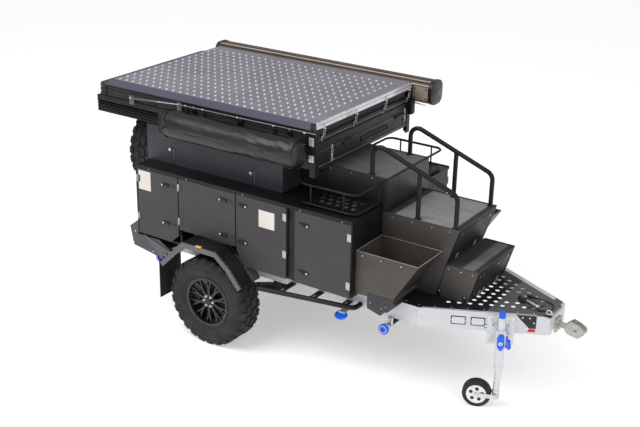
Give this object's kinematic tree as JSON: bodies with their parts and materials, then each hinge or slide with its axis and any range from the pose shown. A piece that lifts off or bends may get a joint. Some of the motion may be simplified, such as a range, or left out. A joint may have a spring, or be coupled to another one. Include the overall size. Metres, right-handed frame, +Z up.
{
  "type": "camper trailer",
  "caption": "Single-axle off-road camper trailer with a box body, side lockers, front steps, folded tent under a hinged lid, spare wheel and jockey wheel.",
  "frame": {"origin": "on the ground, on the centre line, halfway along the overall length", "axes": "+X forward to the coupling, +Y to the trailer's left, +Z up"},
  "size_m": [4.385, 1.94, 2.17],
  "materials": {
    "chassis_paint": "satin",
    "galvanised": "matte",
    "panel_black": "satin",
    "door_grey": "satin",
    "lid_plate": "satin",
    "silver_rail": "polished",
    "canvas": "matte",
    "vinyl": "satin",
    "awning_case": "satin",
    "chequer_plate": "satin",
    "bin_grey": "satin",
    "step_tread": "matte",
    "tyre_rubber": "matte",
    "rim_black": "satin",
    "flap_rubber": "matte",
    "lamp_red": "gloss",
    "marker_orange": "gloss",
    "stand_silver": "satin",
    "lifter_blue": "gloss",
    "shackle_red": "gloss",
    "cast_coupling": "satin",
    "flap_gloss": "gloss",
    "cord_black": "satin",
    "plug_black": "matte",
    "castor_white": "satin"
  },
  "bodies": {
    "trailer": {"awning_brackets": "chassis_paint", "awning_case": "awning_case", "body_floor": "panel_black", "body_roof": "panel_black", "body_walls": "panel_black", "can_bins": "bin_grey", "coupling": "cast_coupling", "cross_members": "chassis_paint", "drawbar_deck": "panel_black", "drawbar_rails": "galvanised", "handrails": "panel_black", "jockey_clamp": "stand_silver", "lead_gland": "plug_black", "lead_plug": "plug_black", "ledge_baskets": "panel_black", "lower_step": "step_tread", "main_rails": "chassis_paint", "middle_step": "step_tread", "mudflaps": "flap_rubber", "mudguards": "chequer_plate", "rear_bumper": "chassis_paint", "shackles": "shackle_red", "side_bag": "vinyl", "side_markers": "marker_orange", "side_sliders": "chassis_paint", "spare_carrier": "chassis_paint", "spare_rim": "rim_black", "spare_tyre": "tyre_rubber", "stabiliser_feet": "lifter_blue", "stabiliser_legs": "chassis_paint", "suspension_arms": "chassis_paint", "suspension_hangers": "chassis_paint", "suspension_springs": "chassis_paint", "tail_lamps": "lamp_red", "tent_base": "panel_black", "tent_canvas": "canvas", "trailer_lead": "cord_black", "upper_pod": "panel_black", "upper_step": "step_tread"},
    "wheel_left": {"tyre_left": "tyre_rubber", "rim_left": "rim_black"},
    "wheel_right": {"tyre_right": "tyre_rubber", "rim_right": "rim_black"},
    "tent_lid": {"tent_lid": "lid_plate", "lid_rail": "silver_rail"},
    "middle_flap": {"middle_flap": "flap_gloss"},
    "lower_flap": {"lower_flap": "flap_gloss"},
    "jockey_stand": {"jockey_stem": "stand_silver", "jockey_handles": "lifter_blue"},
    "jockey_castor": {"jockey_fork": "stand_silver"},
    "jockey_wheel": {"jockey_rim": "castor_white", "jockey_tyre": "tyre_rubber"},
    "door_left_1": {"door_left_1": "door_grey"},
    "door_left_2": {"door_left_2": "door_grey"},
    "door_left_3": {"door_left_3": "door_grey"},
    "door_left_4": {"door_left_4": "door_grey"},
    "door_right_1": {"door_right_1": "door_grey"},
    "door_right_2": {"door_right_2": "door_grey"},
    "door_right_3": {"door_right_3": "door_grey"},
    "door_right_4": {"door_right_4": "door_grey"}
  },
  "joints": [
    {"name": "wheel_left_spin", "type": "hinge", "parent": "trailer", "child": "wheel_left", "pos_m": [-0.8475, 0.805, 0.4], "axis": [0, 1, 0], "continuous": true},
    {"name": "wheel_right_spin", "type": "hinge", "parent": "trailer", "child": "wheel_right", "pos_m": [-0.8475, -0.805, 0.4], "axis": [0, 1, 0], "continuous": true},
    {"name": "door_left_1_hinge", "type": "hinge", "parent": "trailer", "child": "door_left_1", "pos_m": [-1.6975, 0.806, 1.11], "axis": [0, 0, 1], "range_deg": [0, 100]},
    {"name": "door_left_2_hinge", "type": "hinge", "parent": "trailer", "child": "door_left_2", "pos_m": [-1.2325, 0.806, 1.11], "axis": [0, 0, 1], "range_deg": [0, 100]},
    {"name": "door_left_3_hinge", "type": "hinge", "parent": "trailer", "child": "door_left_3", "pos_m": [-0.105, 0.806, 1.11], "axis": [0, 0, -1], "range_deg": [0, 100]},
    {"name": "door_left_4_hinge", "type": "hinge", "parent": "trailer", "child": "door_left_4", "pos_m": [0.5125, 0.806, 1.11], "axis": [0, 0, -1], "range_deg": [0, 100]},
    {"name": "door_right_1_hinge", "type": "hinge", "parent": "trailer", "child": "door_right_1", "pos_m": [-1.6975, -0.806, 1.11], "axis": [0, 0, -1], "range_deg": [0, 100]},
    {"name": "door_right_2_hinge", "type": "hinge", "parent": "trailer", "child": "door_right_2", "pos_m": [-1.2325, -0.806, 1.11], "axis": [0, 0, -1], "range_deg": [0, 100]},
    {"name": "door_right_3_hinge", "type": "hinge", "parent": "trailer", "child": "door_right_3", "pos_m": [-0.105, -0.806, 1.11], "axis": [0, 0, 1], "range_deg": [0, 100]},
    {"name": "door_right_4_hinge", "type": "hinge", "parent": "trailer", "child": "door_right_4", "pos_m": [0.5125, -0.806, 1.11], "axis": [0, 0, 1], "range_deg": [0, 100]},
    {"name": "tent_lid_hinge", "type": "hinge", "parent": "trailer", "child": "tent_lid", "pos_m": [-2.0945, 0, 2.093], "axis": [0, -1, 0], "range_deg": [0, 75]},
    {"name": "middle_flap_hinge", "type": "hinge", "parent": "trailer", "child": "middle_flap", "pos_m": [1.11331, 0, 1.07834], "axis": [0, 1, 0], "range_deg": [0, 72]},
    {"name": "lower_flap_hinge", "type": "hinge", "parent": "trailer", "child": "lower_flap", "pos_m": [1.32097, 0, 0.79636], "axis": [0, 1, 0], "range_deg": [0, 72]},
    {"name": "jockey_swing", "type": "hinge", "parent": "trailer", "child": "jockey_stand", "pos_m": [1.6625, -0.4059, 0.64], "axis": [-0.4429, 0.8966, 0], "range_deg": [0, 90]},
    {"name": "jockey_castor_turn", "type": "hinge", "parent": "jockey_stand", "child": "jockey_castor", "pos_m": [1.6625, -0.4059, 0.3], "axis": [0, 0, 1], "continuous": true},
    {"name": "jockey_wheel_roll", "type": "hinge", "parent": "jockey_castor", "child": "jockey_wheel", "pos_m": [1.5216, -0.4572, 0.115], "axis": [0.3419, -0.9397, 0], "continuous": true}
  ]
}
